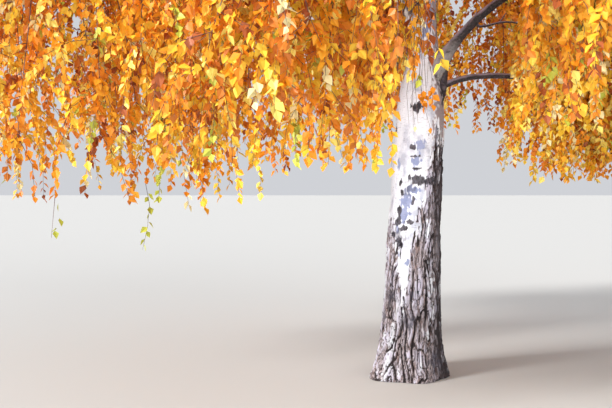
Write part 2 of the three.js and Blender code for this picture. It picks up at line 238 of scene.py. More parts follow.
# %% [markdown]
# ## The trunk's line and girth
# A trunk is close to a cone, but this one leans, bows and narrows fast where its boughs leave it.
# Three short rules say so, each as a function of the height: where the middle is, how thick the
# stem is, and how far the foot stands out in ridges that run into the roots. The model was made
# by the same rules, so pieces made from them lie on it.

# %% Rules of the trunk
TRUNK_HEIGHT = 10.7
TRUNK_LEAN, TRUNK_STRAIGHTENS = 0.05, 0.35
TRUNK_BOW, TRUNK_BOW_HEIGHT = 0.02, 3.0
TRUNK_SWAY = 0.13
BOLE_RADIUS, BOLE_TAPER = 0.228, 0.018
FORK_LOW, FORK_HIGH = 2.1, 3.02
LEADER_RADIUS, LEADER_TIP_RADIUS = 0.078, 0.009
FLARE, FLARE_HEIGHT = 0.08, 0.25
BUTTRESS, BUTTRESS_COUNT, BUTTRESS_TURN = 0.5, 5, 212


def slope(value, low, high):
    """0 below low, 1 above high, smooth between."""
    share = np.clip((value - low) / (high - low), 0, 1)
    return share * share * (3 - 2 * share)


def trunk_centre(z):
    z = np.asarray(z, float)
    share = z / TRUNK_HEIGHT
    bow = TRUNK_BOW * np.sin(np.pi * z / TRUNK_BOW_HEIGHT)
    x = TRUNK_LEAN * z * (1 - TRUNK_STRAIGHTENS * share) - bow
    y = TRUNK_SWAY * np.sin(1.5 * np.pi * share) * share
    return np.stack([x, y, z], axis=-1)


def stem_radius(z):
    bole = BOLE_RADIUS - BOLE_TAPER * z
    share = np.maximum(0, z - FORK_HIGH) / (TRUNK_HEIGHT - FORK_HIGH)
    left = np.maximum(0, 1 - share) ** 0.85
    thin = LEADER_TIP_RADIUS + (LEADER_RADIUS - LEADER_TIP_RADIUS) * left
    return bole + (thin - bole) * slope(z, FORK_LOW, FORK_HIGH)


def flare_at(z, azimuth):
    turn = np.radians(azimuth - BUTTRESS_TURN)
    ridges = np.cos(BUTTRESS_COUNT * turn) * 0.5 + np.maximum(0, np.cos(turn)) ** 6
    return FLARE * (1 + BUTTRESS * ridges) * np.exp(-z / FLARE_HEIGHT)


print("the trunk is", round(float(2 * stem_radius(1.3)), 2), "m thick at breast height")

# %% [markdown]
# ## The limbs' lines
# Each limb leaves its parent steeply, arches over and droops, which is how a birch with hanging
# twigs carries its weight. A line of 25 points follows from a few numbers: where it starts, which
# way it heads, how long it is, and how its slope turns from rise to fall. The lowest limbs are
# listed one by one. The rest stand in a spiral, as shoots do round a stem, and shorten upward.

# %% Rules of the limbs
LIMB_STEPS = 24
COLLAR, COLLAR_LENGTH = 0.35, 0.16
LIMB_WANDER, LIMB_TIP_SHARE = 9, 0.12
STEM_STRIDE = 4
GOLDEN_ANGLE = 137.5
SPIRAL_COUNT, SPIRAL_LOW, SPIRAL_HIGH = 18, 4.05, 10.25
SPIRAL_FIRST, SPIRAL_ARC, SPIRAL_TURN = 212, 290, 0.618
CROWN_RADIUS, CROWN_BASE, CROWN_TOP, CROWN_POINT = 3.7, 3.6, 12.0, 0.5
BARE_UP_TO, CREST_LENGTH = 7.7, 1.25
KEYS = "name height azimuth length rise fall bend radius bare hem parent".split()
LOW_LIMBS = """
right_low    2.15 356 2.7  68  -9 7.0 0.028 0.33 1.56 trunk
right_high   2.19 334 3.7  70 -36 1.5 0.040 0.34 1.65 trunk
front_right  3.06 303 3.2  46 -36 1.1 0.034 0.36 1.85 trunk
front        3.33 266 3.0  46 -40 1.1 0.034 0.36 1.90 trunk
front_mid    2.86 243 3.2  50 -40 1.1 0.032 0.36 1.64 trunk
front_left   3.08 215 3.5  44 -36 1.1 0.030 0.34 1.41 leader
left         3.42 186 3.9  42 -34 1.1 0.031 0.34 1.40 leader
back_left    3.15 142 3.6  46 -34 1.1 0.030 0.34 1.85 leader
back         3.18  92 3.5  46 -34 1.1 0.036 0.34 2.10 trunk
back_right   2.96  46 3.6  48 -34 1.1 0.036 0.34 2.05 trunk
left_high    4.30 194 3.1  56 -26 1.1 0.026 0.34 2.90 leader
left_top     5.30 164 2.7  60 -20 1.1 0.022 0.34 3.80 leader
"""


def compass(azimuth):
    turn = np.radians(azimuth)
    return np.stack([np.cos(turn), np.sin(turn), 0 * turn], axis=-1)


def limb_path(limb, start):
    share = (np.arange(LIMB_STEPS) + 0.5) / LIMB_STEPS
    climb = (limb["rise"] - limb["fall"]) * (1 - share) ** limb["bend"]
    elevation = np.radians(limb["fall"] + climb)
    phase = limb["azimuth"] * 7 % 360
    along = compass(limb["azimuth"] + LIMB_WANDER * np.sin(np.radians(phase + 540 * share)))
    along *= np.cos(elevation)[:, None]
    along[:, 2] = np.sin(elevation)
    steps = np.vstack([start, along * limb["length"] / LIMB_STEPS])
    return np.cumsum(steps, axis=0)


def radii(limb, first, last):
    """The limb's radius at each of its steps from first to last."""
    share = np.arange(first, last + 1) / LIMB_STEPS
    taper = LIMB_TIP_SHARE + (1 - LIMB_TIP_SHARE) * (1 - share) ** 0.9
    swelling = 1 + COLLAR * np.exp(-share * limb["length"] / COLLAR_LENGTH)
    return limb["radius"] * taper * swelling


# %% Grow the limbs' lines
def read_row(row):
    limb = dict(zip(KEYS, row.split()))
    words = ("name", "parent")
    return {key: value if key in words else float(value) for key, value in limb.items()}


def spiral_limb(i):
    share = i / (SPIRAL_COUNT - 1)
    height = SPIRAL_LOW + (SPIRAL_HIGH - SPIRAL_LOW) * share
    low = height < BARE_UP_TO
    crown = (1 - (height - CROWN_BASE) / (CROWN_TOP - CROWN_BASE)) ** CROWN_POINT
    return {
        "name": f"crown_{i + 1}", "height": height, "parent": "trunk",
        "azimuth": SPIRAL_FIRST + (SPIRAL_ARC if low else 360) * (i * SPIRAL_TURN % 1),
        "length": CROWN_RADIUS * crown, "bend": 1.0, "bare": 0.34 if low else 0,
        "rise": 62 + 14 * share, "fall": -24 + 34 * share,
        "radius": 0.038 - 0.026 * share, "hang": 2.5 - share,
    }


leader = {"name": "leader", "height": 2.42, "azimuth": 176, "length": 6.0, "rise": 79, "fall": 58,
          "bend": 1, "radius": 0.054, "bare": 0.67, "hang": 1.9, "upright": True}
leader["path"] = limb_path(leader, trunk_centre(leader["height"]))


def with_path(limb):
    if limb["parent"] == "leader":
        line = leader["path"]
        start = np.array([np.interp(limb["height"], line[:, 2], line[:, k]) for k in range(3)])
    else:
        start = trunk_centre(limb["height"])
    return {**limb, "path": limb_path(limb, start)}


rise = np.linspace(0, 1, LIMB_STEPS + 1)
crest = {"name": "crest", "length": CREST_LENGTH, "hang": 1.5, "swing": 0.5, "bare": 0,
         "upright": True, "radius": LEADER_TIP_RADIUS * 0.9}
crest["path"] = trunk_centre(TRUNK_HEIGHT) + np.stack(
    [0.09 * rise**2, 0.04 * rise, CREST_LENGTH * rise], -1)
low_limbs = [with_path(read_row(row)) for row in LOW_LIMBS.strip().splitlines()]
high_limbs = [leader, *(with_path(spiral_limb(i)) for i in range(SPIRAL_COUNT)), crest]
limbs = low_limbs + high_limbs
for seed, limb in enumerate(limbs, 1):
    limb["seed"] = seed
    limb["split"] = STEM_STRIDE * round(limb["bare"] * LIMB_STEPS / STEM_STRIDE)
print(len(limbs), "limbs, the longest", max(limb["length"] for limb in limbs), "m")

# %% [markdown]
# ## Room for each mass of foliage
# Hanging twigs of neighbouring limbs would run through each other, so each limb owns the air that
# is nearer to its own stem, and to the points below it, than to any other limb's. From the camera
# the two right boughs and much of the white trunk show between the leaves, so the air in front of
# those boughs stays empty, and two thirds of the sprays in front of the trunk are left out.

# %% Rules of the room
DROPS = 4
CELL_MARGIN, TRUNK_CLEARANCE, FRAME_MARGIN = -0.06, 0.05, 0.02
# The camera's picture, in pixels, and two parts of it: left, right, top and bottom, and the
# largest y of what is in front there.
FOCAL, MIDDLE_COLUMN, HORIZON_ROW = 841, 306, 180
BEFORE_BOUGHS, BEFORE_TRUNK = (443, 512, -20, 112, 0.03), (396, 447, -10, 135, -0.1)


def hem_of(limb, z):
    """How low the foliage below height z may hang."""
    return limb["hem"] if "hem" in limb else z - limb["hang"]


def curtain(limb):
    tops = limb["path"][limb["split"]::2]
    hems = np.array([hem_of(limb, top[2]) for top in tops])
    drops = np.arange(DROPS + 1) / (DROPS + 0.5)
    points = np.repeat(tops[:, None], DROPS + 1, axis=1)
    points[:, :, 2] += drops[None] * (hems - tops[:, 2])[:, None]
    return points.reshape(-1, 3)


curtains = [curtain(limb) for limb in limbs]
curtain_points = np.vstack(curtains)
curtain_owner = np.repeat(np.arange(len(limbs)), [len(points) for points in curtains])
inside_low, inside_high = cad_low + FRAME_MARGIN, cad_high - FRAME_MARGIN


def seen_at(points):
    """Where the camera sees points, in pixels of a picture that is 612 wide and 408 high."""
    x, y, z = CAMERA_PLACE
    ahead = points[:, 1] - y
    return np.stack([MIDDLE_COLUMN + FOCAL * (points[:, 0] - x) / ahead,
                     HORIZON_ROW + FOCAL * (z - points[:, 2]) / ahead], axis=1)


def in_view_of(points, left, right, top, bottom, nearer_than):
    seen = seen_at(points)
    across = (seen[:, 0] > left) & (seen[:, 0] < right) & (points[:, 1] < nearer_than)
    return across & (seen[:, 1] > top) & (seen[:, 1] < bottom)


def in_room(limb, points):
    """Whether every point is in the limb's own room, clear of the trunk and inside the frame."""
    if in_view_of(points, *BEFORE_BOUGHS).any():
        return False
    if (points < inside_low).any() or (points > inside_high).any():
        return False
    apart = points - trunk_centre(np.minimum(points[:, 2], TRUNK_HEIGHT))
    if (np.hypot(apart[:, 0], apart[:, 1]) < stem_radius(points[:, 2]) + TRUNK_CLEARANCE).any():
        return False
    far = np.linalg.norm(points[:, None] - curtain_points[None], axis=2)
    own = curtain_owner == limb["seed"] - 1
    return bool((far[:, own].min(1) + CELL_MARGIN < far[:, ~own].min(1)).all())


print(len(curtain_points), "points mark out the rooms")

# %% [markdown]
# ## Twigs and shoots
# A stem carries long twigs that swing out, turn down and hang, and each twig carries thin shoots
# that do the same on a smaller scale. The rule is that of the frame's coarse foliage, with more
# twigs on a stem, and shoots in place of the flat blades. Every line is kept to its limb's room and
# above the hem of the crown, and where a first heading runs out of room, another is tried. Short
# shoots also stand up along each stem before they droop, so that the tops aren't smooth domes, and
# at the left two long shoots trail below the hem.

# %% Lines that swing out and hang
TWIG_SPREAD, TWIG_HANG = (0.12, 0.76), (0.25, 1.9)
SHOOT_LENGTH, SHOOT_SHORTEST = (0.34, 0.68), 0.2
SHOOT_SPLAY = (0.4, 1.1)
TWIG_POINTS, SHOOT_POINTS = 9, 6
TRIES = 5


def hanging_path(start, heading, spread, hang, count, sway=0.0):
    """A line that swings out fast, sways once and falls ever faster."""
    share = np.linspace(0, 1, count)[:, None]
    across = np.cross(heading, (0, 0, 1))
    path = start + heading * spread * (1 - (1 - share) ** 2)
    path = path + across * sway * np.sin(4.5 * share) * share
    return path - np.array((0, 0, 1)) * hang * share**1.6


def point_on(path, share):
    place = share * (len(path) - 1)
    i = min(len(path) - 2, int(place))
    return path[i] + (path[i + 1] - path[i]) * (place - i)


def level(vector):
    flat = np.array([vector[0], vector[1], 0.0])
    return flat / max(1e-6, np.linalg.norm(flat))


def heading_from(limb, place, k, turn):
    """Left and right in turn, or all round where the stem stands upright."""
    if limb.get("upright"):
        return compass(np.array(GOLDEN_ANGLE * k + turn))
    i = min(LIMB_STEPS - 1, int(place))
    along = level(limb["path"][i + 1] - limb["path"][max(0, i - 1)])
    angle = math.degrees(math.atan2(along[1], along[0])) + (turn if k % 2 else -turn)
    return compass(np.array(angle))


def grow_shoot(limb, rng, root, heading, turns, splays):
    for _ in range(TRIES):
        turn = math.atan2(heading[1], heading[0]) + math.radians(rng.uniform(*turns))
        outward = np.array([math.cos(turn), math.sin(turn), 0.0])
        length = min(rng.uniform(*SHOOT_LENGTH), root[2] - hem_of(limb, root[2]))
        splay = rng.uniform(*splays)
        if length < SHOOT_SHORTEST:
            return None
        down = length / math.hypot(1, splay)
        sway = rng.uniform(-0.06, 0.06)
        path = hanging_path(root, outward, down * splay, down, SHOOT_POINTS, sway)
        if in_room(limb, path[1:]):
            return path
    return None


# %% Grow the twigs and shoots of one limb
def grow_twig(limb, rng, k, count):
    place = limb["split"] + (LIMB_STEPS - limb["split"]) * (k + 0.8) / count
    start = point_on(limb["path"], min(0.985, place / LIMB_STEPS))
    turns = (0, 30) if k == count - 1 else (40, 90)
    for _ in range(TRIES):
        heading = heading_from(limb, place, k, rng.uniform(*turns))
        fall = (start[2] - hem_of(limb, start[2])) * rng.uniform(0.75, 1)
        hang = float(np.clip(fall - SHOOT_LENGTH[0], *TWIG_HANG))
        spread = rng.uniform(*TWIG_SPREAD) * limb.get("swing", 1)
        path = hanging_path(start, heading, spread, hang, TWIG_POINTS, rng.uniform(-0.12, 0.12))
        if in_room(limb, path[1:]):
            return path
    return None


def shoots_on_twig(limb, rng, path, count):
    heading = level(path[-1] - path[0])
    shoots = []
    for k in range(count - 1):
        turns = (40, 120) if k % 2 else (-120, -40)
        root = point_on(path, (k + 0.6) / count)
        shoots.append(grow_shoot(limb, rng, root, heading, turns, SHOOT_SPLAY))
    for turns in ((-120, -20), (20, 120)):
        shoots.append(grow_shoot(limb, rng, path[-1], heading, turns, (0.1, 0.6)))
    return found(shoots)


def grow_top_shoot(limb, rng, place):
    """A short shoot that stands up from the stem before it droops."""
    root = point_on(limb["path"], place / LIMB_STEPS)
    turn = np.array(rng.uniform(0, 360))
    path = hanging_path(root, compass(turn), rng.uniform(0.15, 0.42), 0.26, SHOOT_POINTS)
    path[:, 2] += rng.uniform(0.12, 0.5) * np.sin(np.linspace(0, 2.4, SHOOT_POINTS))
    return path if in_room(limb, path[1:]) else None


def found(lines):
    return [line for line in lines if line is not None]


def grow_mass(limb, twig_count, shoots_per_twig, stem_shoots):
    rng = np.random.default_rng(100 + limb["seed"])
    twigs = found([grow_twig(limb, rng, k, twig_count) for k in range(twig_count)])
    shoots = [shoot for twig in twigs for shoot in shoots_on_twig(limb, rng, twig, shoots_per_twig)]
    for k in range(stem_shoots):
        place = limb["split"] + (LIMB_STEPS - limb["split"]) * (k + 0.4) / stem_shoots
        root = point_on(limb["path"], place / LIMB_STEPS)
        heading = heading_from(limb, place, k, 60)
        shoot = grow_shoot(limb, rng, root, heading, (-40, 40), SHOOT_SPLAY)
        shoots += [shoot, grow_top_shoot(limb, rng, place)]
    return twigs, found(shoots)


# %% Grow the whole crown
# Twigs, shoots on each twig and shoots on the stem, of one limb.
LOW_GROWTH, HIGH_GROWTH = (30, 14, 30), (16, 10, 18)
# Where the trailing shoots end in the camera's picture, and how far aside a bearer may be.
TRAIL_TIPS, TRAIL_REACH = [(58, 238), (141, 250)], 8
for group, growth in ((low_limbs, LOW_GROWTH), (high_limbs, HIGH_GROWTH)):
    for limb in group:
        limb["twigs"], limb["shoots"] = grow_mass(limb, *growth)


def grow_trail(column, row):
    """Lengthens the lowest shoot at a column of the camera's view until its tip is at the row."""
    tips = [(seen_at(shoot[-1:])[0], limb, shoot[-1])
            for limb in low_limbs for shoot in limb["shoots"]]
    seen, limb, tip = max((near for near in tips if abs(near[0][0] - column) < TRAIL_REACH),
                          key=lambda near: near[0][1])
    drop = (row - seen[1]) * (tip[1] - CAMERA_PLACE[1]) / FOCAL
    share = np.linspace(0, 1, SHOOT_POINTS)
    sway = 0.03 * np.sin(4 * share)
    limb.setdefault("trails", []).append(tip + np.stack([sway, 0 * share, -drop * share], -1))
    return drop


drops = [grow_trail(*tip) for tip in TRAIL_TIPS]
print("trailing shoots hang", np.round(drops, 2), "m lower than the shoots that bear them")
print(sum(len(limb["twigs"]) for limb in limbs), "twigs and",
      sum(len(limb["shoots"]) for limb in limbs), "shoots")

# %% [markdown]
# ## Bars that follow lines
# A bough, a twig and a shoot are all round bars that taper along a bent line. A node tree makes
# all of them at once: it takes lines with a thickness at each point, smooths them, and sweeps a
# ring along. A little noise pushes the skin in and out, so that a bough isn't as even as a pipe.

# %% The tree that sweeps rings along lines
def new_tree(name, inputs):
    group = bpy.data.node_groups.new(name, "GeometryNodeTree")
    face = group.interface
    face.new_socket("Geometry", in_out="INPUT", socket_type="NodeSocketGeometry")
    for label, kind in inputs.items():
        face.new_socket(label, in_out="INPUT", socket_type="NodeSocket" + kind)
    face.new_socket("Geometry", in_out="OUTPUT", socket_type="NodeSocketGeometry")
    tree = Tree(group)
    return tree, tree.add("NodeGroupInput").outputs


def finish_tree(tree, geometry, material):
    whole = tree.first("GeometryNodeRealizeInstances", {"Geometry": geometry})
    dressed = tree.first("GeometryNodeSetMaterial", {"Geometry": whole, "Material": material})
    tree.add("NodeGroupOutput", {"Geometry": dressed})
    return tree.tree


def bar_tree():
    inputs = {"Sides": "Int", "Step": "Float", "Relief": "Float", "Material": "Material"}
    tree, given = new_tree("bars along lines", inputs)
    curve = tree.first("GeometryNodeMeshToCurve", {"Mesh": given["Geometry"]})
    smooth = tree.first("GeometryNodeCurveSplineType", {"Curve": curve}, spline_type="CATMULL_ROM")
    even = tree.first("GeometryNodeResampleCurve", {"Curve": smooth, "Length": given["Step"]},
                      mode="LENGTH")
    ring = tree.first("GeometryNodeCurvePrimitiveCircle",
                      {"Resolution": given["Sides"], "Radius": 1.0})
    thick = tree.first("GeometryNodeInputNamedAttribute", {"Name": "thick"}, data_type="FLOAT")
    bars = tree.first("GeometryNodeCurveToMesh", {"Curve": even, "Profile Curve": ring,
                                                  "Scale": thick, "Fill Caps": True})
    lumps = tree.first("ShaderNodeTexNoise", {"Scale": 14.0, "Detail": 3.0})
    push = (tree.number(lumps) - 0.5) * given["Relief"] * tree.number(thick)
    outward = tree.first("GeometryNodeInputNormal")
    offset = tree.first("ShaderNodeVectorMath", {0: outward, "Scale": push}, operation="SCALE")
    pushed = tree.first("GeometryNodeSetPosition", {"Geometry": bars, "Offset": offset})
    soft = tree.first("GeometryNodeSetShadeSmooth", {"Geometry": pushed})
    return finish_tree(tree, soft, given["Material"])


# %% From lines to a plain mesh
def shape(name, points, edges=(), faces=(), **carried_numbers):
    """An object of bare points, edges or faces, with numbers or vectors carried on its points."""
    mesh = bpy.data.meshes.new(name)
    mesh.from_pydata(points, edges, faces)
    for key, numbers in carried_numbers.items():
        kind, part = ("FLOAT_VECTOR", "vector") if numbers.ndim > 1 else ("FLOAT", "value")
        mesh.attributes.new(key, kind, "POINT").data.foreach_set(part, numbers.ravel())
    return placed(name, mesh)


def lines_object(name, lines, **values):
    """One object of loose lines. Each of the values gives a number at every point of each line."""
    counts = [len(line) for line in lines]
    starts = np.cumsum([0, *counts[:-1]])
    edges = np.concatenate([np.arange(s, s + n - 1) for s, n in zip(starts, counts)])
    return shape(name, np.vstack(lines), np.stack([edges, edges + 1], 1).tolist(),
                 **{key: np.concatenate(numbers) for key, numbers in values.items()})


def run_tree(source, group, **values):
    """Runs a node tree on an object and gives back a plain mesh object of the same name."""
    modifier = source.modifiers.new("tree", "NODES")
    modifier.node_group = group
    for item in group.interface.items_tree:
        if item.in_out == "INPUT" and item.name in values:
            modifier[item.identifier] = values[item.name]
    seen = source.evaluated_get(bpy.context.evaluated_depsgraph_get())
    mesh = bpy.data.meshes.new_from_object(seen)
    name = source.name
    bpy.data.objects.remove(source)
    piece = placed(name, mesh)
    mesh.name = name
    return piece


def triangles(piece):
    return sum(len(face.vertices) - 2 for face in piece.data.polygons)


bars = bar_tree()

# %% [markdown]
# ## Bark of the boughs and twigs
# White bark comes with age and thickness. The leader beside the trunk has it at its foot, and a
# trace of it is on the broad foot of the upper right bough. The other boughs are dark brown with a
# lilac bloom, and their upper sides are painted lighter lilac, a painted highlight of light from
# above. The youngest wood is a smooth purple brown. A number on the line, called pale, carries how
# white a place is. Noise breaks the bloom into patches, and a bump from the same noise gives the
# light something to catch.

# %% Mixing colours, and the coordinates of a material
BUMP_DISTANCE = 0.006


def rgba(colour):
    return colour if isinstance(colour, bpy.types.NodeSocket) else (*colour, 1)


def blend(tree, share, first, second):
    """first where share is 0, second where it is 1."""
    node = tree.add("ShaderNodeMix", data_type="RGBA")
    for place, value in ((0, share), (6, rgba(first)), (7, rgba(second))):
        tree.put(node.inputs[place], value)
    return node.outputs[2]


def layered(tree, colour, *layers):
    """Lays one colour after another over the first, each with its share."""
    for share, over in layers:
        colour = blend(tree, share, colour, over)
    return colour


def grain(tree, scale, detail=4.0, roughness=0.6, stretch=(1, 1, 1), distortion=0.0):
    """Noise on the piece's own coordinates, each axis scaled by stretch."""
    place = tree.add("ShaderNodeTexCoord").outputs["Object"]
    scaled = tree.first("ShaderNodeMapping", {"Vector": place, "Scale": stretch})
    return tree.number(tree.first("ShaderNodeTexNoise", {
        "Vector": scaled, "Scale": scale, "Detail": detail, "Roughness": roughness,
        "Distortion": distortion}))


def bump(tree, height, strength):
    return tree.first("ShaderNodeBump",
                      {"Height": height, "Strength": strength, "Distance": BUMP_DISTANCE})


def carried(tree, name):
    return tree.number(tree.add("ShaderNodeAttribute", attribute_name=name).outputs["Fac"])


# %% Bark of the boughs
DARK_BROWN, BROWN, BLOOM_AND_TOP_HIGHLIGHT = (0.01, 0.007, 0.009), (0.04, 0.027, 0.03), (0.5, 0.41, 0.5)
LEADER_WHITE, LEADER_DARK = (0.66, 0.62, 0.6), (0.1, 0.08, 0.075)
YOUNG_BROWN, YOUNG_GREY = (0.085, 0.045, 0.042), (0.2, 0.125, 0.12)


def bough_bark():
    material, shader = new_material("bough bark")
    tree = Tree(material.node_tree)
    normal = tree.add("ShaderNodeTexCoord").outputs["Normal"]
    upward = tree.number(tree.add("ShaderNodeSeparateXYZ", {0: normal}).outputs[2])
    patches, fine = grain(tree, 9, detail=5), grain(tree, 60, detail=3)
    brown = blend(tree, fine.steps_up(0.35, 0.7), DARK_BROWN, BROWN)
    # Upper sides get more lilac: a painted highlight of light from above, over real bloom in
    # patches.
    bloom_and_highlight = (upward * 0.8 + patches - 0.4).steps_up(0.1, 0.6)
    white = blend(tree, patches.steps_up(0.52, 0.62), LEADER_WHITE, LEADER_DARK)
    shown = layered(tree, brown, (bloom_and_highlight * 0.8, BLOOM_AND_TOP_HIGHLIGHT),
                    ((carried(tree, "pale") + fine * 0.3 - 0.15).clamped(), white))
    tree.put(shader["Base Color"], shown)
    tree.put(shader["Roughness"], 0.62 + fine * 0.25)
    tree.put(shader["Normal"], bump(tree, patches + fine * 0.5, 0.6))
    return material


def twig_bark():
    material, shader = new_material("twig bark")
    tree = Tree(material.node_tree)
    patches, fine = grain(tree, 7, detail=2), grain(tree, 120, detail=2)
    tree.put(shader["Base Color"],
             blend(tree, patches.steps_up(0.35, 0.65), YOUNG_BROWN, YOUNG_GREY))
    tree.put(shader["Roughness"], 0.45 + fine * 0.3)
    return material


BOUGH_BARK = bough_bark()
TWIG_BARK = twig_bark()

# %% [markdown]
# ## Boughs
# Each bough is the bare part of its limb, from inside its parent to where the foliage begins. It
# swells at its root, where the wood of parent and bough grows together, and thins steadily. Two
# boughs leave the trunk close together on the right. There the upper one has a broad foot, and
# under it a dark ridge of bough bark runs down the trunk, partly a ridge of bark and partly painted
# shade along the bough's shaded underside. The ridge, and a bare forked twig on the upper bough,
# are bars of their own.

# %% Boughs
# Each point of a bare bar has its place and the radius there.
# The ridge lies along the bough's shaded underside: partly a ridge of bark, partly painted shade.
RIDGE_AND_SHADOW_LINE = [(0.368, -0.14, 2.72, 0.01), (0.32, -0.1, 2.59, 0.015), (0.283, -0.06, 2.486, 0.018),
         (0.268, -0.02, 2.39, 0.03), (0.262, -0.02, 2.31, 0.03), (0.25, -0.03, 2.23, 0.02),
         (0.238, -0.03, 2.15, 0.008)]
SIDE_TWIG = [(0.47, -0.22, 2.8, 0.014), (0.523, -0.23, 2.77, 0.01), (0.6, -0.25, 2.785, 0.009),
             (0.68, -0.26, 2.8, 0.008), (0.76, -0.27, 2.797, 0.007), (0.85, -0.28, 2.77, 0.005)]
SIDE_FORK = [(0.66, -0.257, 2.798, 0.006), (0.69, -0.26, 2.83, 0.005), (0.705, -0.27, 2.87, 0.003)]
FOOT_SWELLING, FOOT_LENGTH, FOOT_PALE = 1.5, 0.4, 0.38

bearing = [limb for limb in limbs if limb["split"] > 0]
lines = [limb["path"][: limb["split"] + 1] for limb in bearing]
thick = [radii(limb, 0, limb["split"]) for limb in bearing]
pale = [(limb is leader) * 0.9 * slope(radius, 0.03, 0.05) for limb, radius in zip(bearing, thick)]
foot = next(i for i, limb in enumerate(bearing) if limb["name"] == "right_high")
from_root = np.arange(len(lines[foot])) * bearing[foot]["length"] / LIMB_STEPS
thick[foot] = thick[foot] * (1 + FOOT_SWELLING * np.exp(-((from_root / FOOT_LENGTH) ** 2)))
pale[foot] = FOOT_PALE * (1 - slope(from_root, FOOT_LENGTH, 0.65))
for bar in (RIDGE_AND_SHADOW_LINE, SIDE_TWIG, SIDE_FORK):
    places_and_radii = np.array(bar)
    lines.append(places_and_radii[:, :3])
    thick.append(places_and_radii[:, 3])
    pale.append(0 * thick[-1])
boughs = run_tree(lines_object("boughs", lines, thick=thick, pale=pale), bars,
                  Sides=14, Step=0.05, Relief=0.45, Material=BOUGH_BARK)
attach(boughs, "root")
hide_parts(*("bough_" + limb["name"] for limb in bearing))
print(len(lines), "boughs,", triangles(boughs), "triangles")

# %% [markdown]
# ## Stems, twigs and shoots
# Beyond its bare part a limb goes on as a stem, and twigs and shoots hang from it. They are the
# same bars with fewer sides, since each is only a few millimetres thick. The crown is dressed in
# two halves, the low limbs and the high ones, so that no piece grows too heavy.

# %% Stems, twigs and shoots
TWIG_RADIUS, SHOOT_RADIUS, SHOOT_TIP_RADIUS = 0.0055, 0.0022, 0.001


def twig_lines(group):
    lines, thick = [], []
    for limb in group:
        first, shoots = limb["split"], limb["shoots"] + limb.get("trails", [])
        lines += [limb["path"][first:], *limb["twigs"], *shoots]
        thick.append(np.maximum(0.004, radii(limb, first, LIMB_STEPS)))
        thick += [np.linspace(TWIG_RADIUS, SHOOT_RADIUS, len(line)) for line in limb["twigs"]]
        thick += [np.linspace(SHOOT_RADIUS, SHOOT_TIP_RADIUS, len(line)) for line in shoots]
    return lines, thick


def masses(group):
    return ["foliage_" + limb["name"] for limb in group]


HALVES = {"low": low_limbs, "high": high_limbs}
for half, group in HALVES.items():
    lines, thick = twig_lines(group)
    twigs = run_tree(lines_object("twigs_" + half, lines, thick=thick), bars,
                     Sides=3, Step=0.16, Relief=0.0, Material=TWIG_BARK)
    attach(twigs, "root")
    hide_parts(*masses(group))
    print(twigs.name, triangles(twigs), "triangles")

# %% [markdown]
# ## Leaves
# A birch leaf is a small blade on a thin stalk: broad near its foot, drawn out to a point, and
# folded a little along its middle rib. The pattern leaf has only four faces, because some two
# hundred thousand copies of it hang in the crown, and its foot narrows to a point that stands for
# the stalk. The leaves sit left and right of the shoot in turn, and their weight turns most tips
# down and outward.

# %% The pattern leaf
def pattern_leaf():
    points = [(0, 0, 0), (-0.37, 0.38, 0.09), (-0.22, 0.69, 0.05), (0, 1, -0.04),
              (0.22, 0.69, 0.05), (0.37, 0.38, 0.09)]
    faces = [(0, 2, 1), (0, 3, 2), (0, 4, 3), (0, 5, 4)]
    return shape("pattern_leaf", points, faces=faces)


# %% Places for the leaves
LEAF_SPACING = {"low": 0.0205, "high": 0.027}
LEAF_SIZES = {"low": (0.042, 0.07), "high": (0.06, 0.088)}
TO_THE_SIDE, ALONG, DOWN = 0.62, 0.35, np.array((0, 0, -0.55))


def unit(vectors):
    return vectors / np.maximum(1e-9, np.linalg.norm(vectors, axis=-1, keepdims=True))


def leaves_on(line, rng, spacing, first):
    """Places, tips and facings of the leaves on a line, from the share first of it on."""
    steps = np.linalg.norm(np.diff(line, axis=0), axis=1)
    count = int(steps.sum() * (1 - first) / spacing)
    share = first + (1 - first) * (np.arange(count) + rng.uniform(0.1, 0.9, count)) / max(1, count)
    at = share * (len(line) - 1)
    i = np.minimum(len(line) - 2, at.astype(int))
    along = unit(line[i + 1] - line[i])
    places = line[i] + (line[i + 1] - line[i]) * (at - i)[:, None]
    turn = math.pi * (np.arange(count) % 2) + rng.uniform(0, 6.28) + rng.normal(0, 0.7, count)
    across = unit(np.cross(along, (0.31, 0.95, 0.05)))
    other = np.cross(along, across)
    side = across * np.cos(turn)[:, None] + other * np.sin(turn)[:, None]
    tips = unit(TO_THE_SIDE * side + ALONG * along + DOWN + rng.normal(0, 0.22, (count, 3)))
    facing = unit(np.cross(tips, np.cross(tips, side)) * -1 + rng.normal(0, 0.45, (count, 3)))
    return np.stack([places, tips, facing], axis=1)


# %% [markdown]
# ## Autumn tints
# A birch turns one spray at a time, so the few leaves of a spray share a tint and the next spray
# may differ. Eight plain colours, from rust and orange over gold to lemon, cream and a last green,
# are dealt out spray by spray. Gold and orange are the most common. The cream is partly a pale
# leaf tint and partly a painted highlight of sun glinting on glossy leaves. The limbs on the right
# have more of the pale tints, painted light for their sunlit leaves, and those at the back more of
# the deep ones, painted shade. One colour for each leaf piece is enough: the change from spray to
# spray, and the folded blades, give the variety.

# %% Deal the tints out
# Cream is partly a pale leaf tint and partly a painted highlight of sun glinting on glossy leaves.
TINTS = {
    "rust": (0.4, 0.09, 0.014), "amber": (0.68, 0.2, 0.014), "orange": (0.9, 0.31, 0.012),
    "gold": (0.95, 0.44, 0.02), "yellow": (0.95, 0.6, 0.04), "lemon": (0.95, 0.74, 0.15),
    "cream": (0.88, 0.75, 0.38), "lime": (0.55, 0.58, 0.07),
}
